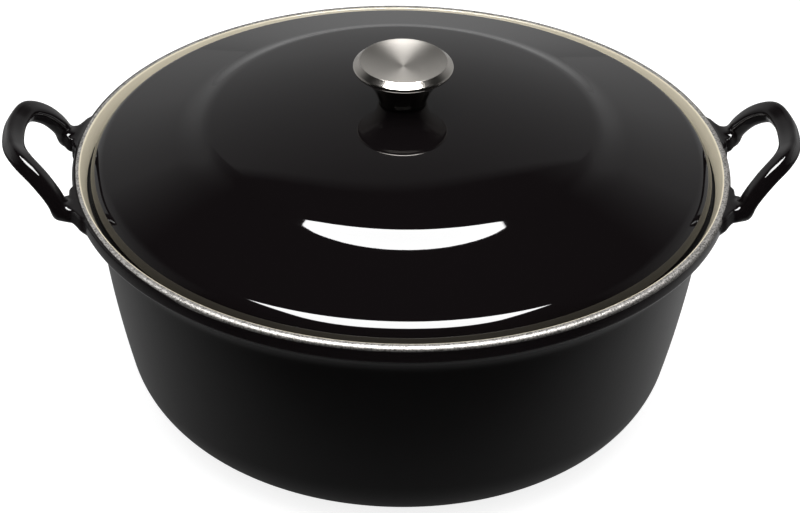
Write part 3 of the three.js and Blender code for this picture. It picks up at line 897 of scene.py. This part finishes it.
class CASSEROLE_OT_stage(bpy.types.Operator):
    """Set up the floor, the softbox, the room and the camera"""
    bl_idname = "casserole.stage"
    bl_label = "Stage"

    def execute(self, context):
        scene = context.scene
        scene.view_settings.view_transform = "Standard"
        self.floor(scene)
        self.softbox(scene)
        self.room(scene)
        self.camera(scene)
        return {"FINISHED"}

    def mirrored(self, tree, path):
        """1 for a ray that comes off a glossy or a clear surface."""
        return add(tree, "ShaderNodeMath", operation="MAXIMUM", links={
            0: path.outputs["Is Glossy Ray"], 1: path.outputs["Is Transmission Ray"]}).outputs[0]

    def floor(self, scene):
        """A plain pale floor that keeps the shadow; the glaze mirrors it dark in front and pale beside."""
        s = scene.casserole_stage
        shell = bmesh.new()
        bmesh.ops.create_circle(shell, cap_ends=True, radius=8, segments=128)
        mesh = bpy.data.meshes.new("floor")
        shell.to_mesh(mesh)
        shell.free()
        made, tree, shader = material("Plain pale floor", {
            "Emission Color": (1, 1, 1, 1), "Roughness": 0.9, "Specular IOR Level": 0})
        path = add(tree, "ShaderNodeLightPath")
        mirrored = self.mirrored(tree, path)
        place = add(tree, "ShaderNodeTexCoord").outputs["Object"]
        split = add(tree, "ShaderNodeSeparateXYZ", links={0: place})
        near = add(tree, "ShaderNodeMapRange",
                   {"From Min": -0.19, "From Max": 0.02, "To Min": s.floor_front, "To Max": s.floor_side},
                   {"Value": split.outputs["Y"]})
        # the pale patch beside the pot ends about 0.3 m from its middle
        far = add(tree, "ShaderNodeVectorMath", links={0: place}, operation="LENGTH")
        patch = add(tree, "ShaderNodeMapRange",
                    {"From Min": 0.235, "From Max": 0.3, "To Min": 1, "To Max": s.floor_far},
                    {"Value": far.outputs["Value"]})
        right = add(tree, "ShaderNodeMapRange",
                    {"From Min": -0.1, "From Max": 0.2, "To Min": 1, "To Max": s.floor_right},
                    {"Value": split.outputs["X"]})
        patch = add(tree, "ShaderNodeMath", links={0: patch.outputs[0], 1: right.outputs[0]},
                    operation="MULTIPLY")
        # far behind the pot the floor is even again
        even = add(tree, "ShaderNodeMapRange", {"From Min": 0.2, "From Max": 0.5},
                   {"Value": split.outputs["Y"]})
        patch = add(tree, "ShaderNodeMix", {"B": 1.0}, {"A": patch.outputs[0], "Factor": even.outputs[0]})
        depth = add(tree, "ShaderNodeMath", links={0: near.outputs[0], 1: patch.outputs["Result"]},
                    operation="MULTIPLY")
        level = add(tree, "ShaderNodeMix", {"A": 1.0}, {"B": depth.outputs[0], "Factor": mirrored})
        shade = add(tree, "ShaderNodeMix", {"A": (0, 0, 0, 1), "B": opaque(scene.casserole_finish.floor)},
                    {"Factor": level.outputs["Result"]}, data_type="RGBA")
        tree.links.new(shade.outputs["Result"], shader.inputs["Base Color"])
        seen = add(tree, "ShaderNodeMath", {1: s.floor_mirror},
                   {0: mirrored, 2: path.outputs["Is Camera Ray"]}, operation="MULTIPLY_ADD")
        lift = add(tree, "ShaderNodeMath", {1: s.floor_lift}, {0: seen.outputs[0]}, operation="MULTIPLY")
        lift = add(tree, "ShaderNodeMath", links={0: lift.outputs[0], 1: level.outputs["Result"]},
                   operation="MULTIPLY")
        tree.links.new(lift.outputs[0], shader.inputs["Emission Strength"])
        mesh.materials.append(made)
        new_piece("floor", mesh)

    def softbox(self, scene):
        """A wide softbox overhead, towards the front: one lamp for its light, one for its mirror image."""
        s = scene.casserole_stage
        far, lift, gap = 4.0, 0.15, 0.01
        # how far it reaches from straight above the pot, to a metre of height
        back, front, side = 0.155, 0.63, 0.47
        corner = 0.3 * far
        for name, radiance in (("softbox light", s.light), ("softbox image", s.highlight)):
            lamp = bpy.data.lights.new(name, "AREA")
            lamp.shape = "RECTANGLE"
            lamp.size = 2 * far * side
            lamp.size_y = far * (back + front)
            lamp.energy = radiance * math.pi * lamp.size * lamp.size_y
            piece = new_piece(name, lamp)
            piece.location = (0, far * (back - front) / 2, far + lift)
            if name == "softbox image":
                piece.location.z -= gap
                self.round_front(lamp, corner)
            piece.visible_diffuse = name == "softbox light"
            piece.visible_glossy = name == "softbox image"
            piece.visible_camera = False

    def round_front(self, lamp, corner):
        """Rounds the two front corners of a lamp's mirror image."""
        lamp.use_nodes = True
        tree = lamp.node_tree
        place = add(tree, "ShaderNodeNewGeometry").outputs["Parametric"]
        middle = add(tree, "ShaderNodeVectorMath", {1: (0.5, 0.5, 0)}, {0: place}, operation="SUBTRACT")
        metres = add(tree, "ShaderNodeVectorMath", {1: (lamp.size, -lamp.size_y, 0)},
                     {0: middle.outputs[0]}, operation="MULTIPLY")
        split = add(tree, "ShaderNodeSeparateXYZ", links={0: metres.outputs[0]})
        across = add(tree, "ShaderNodeMath", links={0: split.outputs["X"]}, operation="ABSOLUTE")
        quarter = add(tree, "ShaderNodeCombineXYZ", links={"X": across.outputs[0], "Y": split.outputs["Y"]})
        inner = (lamp.size / 2 - corner, lamp.size_y / 2 - corner, 0)
        past = add(tree, "ShaderNodeVectorMath", {1: inner}, {0: quarter.outputs[0]}, operation="SUBTRACT")
        past = add(tree, "ShaderNodeVectorMath", {1: (0, 0, 0)}, {0: past.outputs[0]}, operation="MAXIMUM")
        reach = add(tree, "ShaderNodeVectorMath", links={0: past.outputs[0]}, operation="LENGTH")
        fade = add(tree, "ShaderNodeMapRange", {"From Min": corner, "From Max": 0.94 * corner},
                   {"Value": reach.outputs["Value"]})
        tree.links.new(fade.outputs[0], tree.nodes["Emission"].inputs["Strength"])

    def room(self, scene):
        """A dim studio: a backdrop behind the pot, bright at its foot, rounded at its top, black above."""
        s = scene.casserole_stage
        world = bpy.data.worlds.new("studio")
        world.use_nodes = True
        scene.world = world
        tree = world.node_tree
        way = add(tree, "ShaderNodeTexCoord").outputs["Generated"]
        way = add(tree, "ShaderNodeSeparateXYZ", links={0: way})
        glow = add(tree, "ShaderNodeMapRange",
                   {"From Min": 0.2, "From Max": 0.81, "To Min": s.glow, "To Max": s.glow * s.fade},
                   {"Value": way.outputs["Z"]})
        behind = add(tree, "ShaderNodeMapRange", {"From Min": -0.3, "From Max": 0.7},
                     {"Value": way.outputs["Y"]})
        low = add(tree, "ShaderNodeMath", links={0: glow.outputs[0], 1: behind.outputs[0]},
                  operation="MULTIPLY")
        # the top of the backdrop: so many times as high as it is far, lower to the sides, with a soft edge
        top_height, top_bow, soft = 1.33, -2.6, 0.07
        away = add(tree, "ShaderNodeMath", {1: 0.02}, {0: way.outputs["Y"]}, operation="MAXIMUM")
        side = add(tree, "ShaderNodeMath", links={0: way.outputs["X"], 1: away.outputs[0]},
                   operation="DIVIDE")
        bow = add(tree, "ShaderNodeMath", {1: 2}, {0: side.outputs[0]}, operation="POWER")
        top = add(tree, "ShaderNodeMath", {1: top_bow, 2: top_height}, {0: bow.outputs[0]},
                  operation="MULTIPLY_ADD")
        high = add(tree, "ShaderNodeMath", links={0: way.outputs["Z"], 1: away.outputs[0]},
                   operation="DIVIDE")
        below = add(tree, "ShaderNodeMath", links={0: top.outputs[0], 1: high.outputs[0]},
                    operation="SUBTRACT")
        edge = add(tree, "ShaderNodeMapRange", {"From Min": -soft, "From Max": soft},
                   {"Value": below.outputs[0]})
        # low down the backdrop runs on all round, and a little light is left above it
        sweep = add(tree, "ShaderNodeMapRange", {"From Min": 0.7, "From Max": 0.5, "To Min": 0.03},
                    {"Value": way.outputs["Z"]})
        kept = add(tree, "ShaderNodeMath", links={0: edge.outputs[0], 1: sweep.outputs[0]},
                   operation="MAXIMUM")
        low = add(tree, "ShaderNodeMath", links={0: low.outputs[0], 1: kept.outputs[0]},
                  operation="MULTIPLY")
        path = add(tree, "ShaderNodeLightPath")
        level = add(tree, "ShaderNodeMix", {"A": s.ambient},
                    {"B": low.outputs[0], "Factor": self.mirrored(tree, path)})
        level = add(tree, "ShaderNodeMix", {"B": 1.0},
                    {"A": level.outputs["Result"], "Factor": path.outputs["Is Camera Ray"]})
        tree.links.new(level.outputs["Result"], tree.nodes["Background"].inputs["Strength"])
        tree.nodes["Background"].inputs["Color"].default_value = (1, 1, 1, 1)

    def camera(self, scene):
        """A long lens from the front, about 33 degrees down, a little to the left, rolled by a degree."""
        place = (-0.0605, -1.8344, 1.2466)
        forward = Vector((0.0278, 0.8424, -0.5381)).normalized()
        roll = math.radians(-1.021)
        lens = bpy.data.cameras.new("camera")
        lens.sensor_width = 36
        lens.lens = 198.45
        lens.clip_end = 50
        eye = new_piece("camera", lens)
        right = forward.cross(Vector((0, 0, 1))).normalized()
        down = forward.cross(right)
        across = right * math.cos(roll) + down * math.sin(roll)
        up = right * math.sin(roll) - down * math.cos(roll)
        turn = Matrix((across, up, -forward)).transposed().to_4x4()
        eye.matrix_world = Matrix.Translation(place) @ turn
        scene.camera = eye


class CASSEROLE_PT_sidebar(bpy.types.Panel):
    """Sizes, colours and steps of the casserole"""
    bl_label = "Casserole"
    bl_idname = "CASSEROLE_PT_sidebar"
    bl_space_type = "VIEW_3D"
    bl_region_type = "UI"
    bl_category = "Casserole"

    def draw(self, context):
        for name, group in GROUPS.items():
            box = self.layout.box()
            box.label(text=group.__name__)
            for key in group.__annotations__:
                box.prop(getattr(context.scene, name), key)
        for operator in OPERATORS:
            self.layout.operator(operator.bl_idname)


GROUPS = {
    "casserole_pot": PotSizes,
    "casserole_handle": HandleSizes,
    "casserole_lid": LidSizes,
    "casserole_knob": KnobSizes,
    "casserole_fastener": FastenerSizes,
    "casserole_finish": Finishes,
    "casserole_stage": StageLevels,
}
OPERATORS = (
    CASSEROLE_OT_pot_body,
    CASSEROLE_OT_lid,
    CASSEROLE_OT_knob,
    CASSEROLE_OT_fasteners,
    CASSEROLE_OT_stage,
)


def register():
    for kind in (*GROUPS.values(), *OPERATORS, CASSEROLE_PT_sidebar):
        bpy.utils.register_class(kind)
    for name, group in GROUPS.items():
        setattr(bpy.types.Scene, name, bpy.props.PointerProperty(type=group))


def unregister():
    for name in GROUPS:
        delattr(bpy.types.Scene, name)
    for kind in (CASSEROLE_PT_sidebar, *reversed(OPERATORS), *reversed(GROUPS.values())):
        bpy.utils.unregister_class(kind)


def main():
    register()
    for step in (bpy.ops.casserole.pot_body, bpy.ops.casserole.lid, bpy.ops.casserole.knob,
                 bpy.ops.casserole.fasteners, bpy.ops.casserole.stage):
        step()


if __name__ == "__main__":
    main()
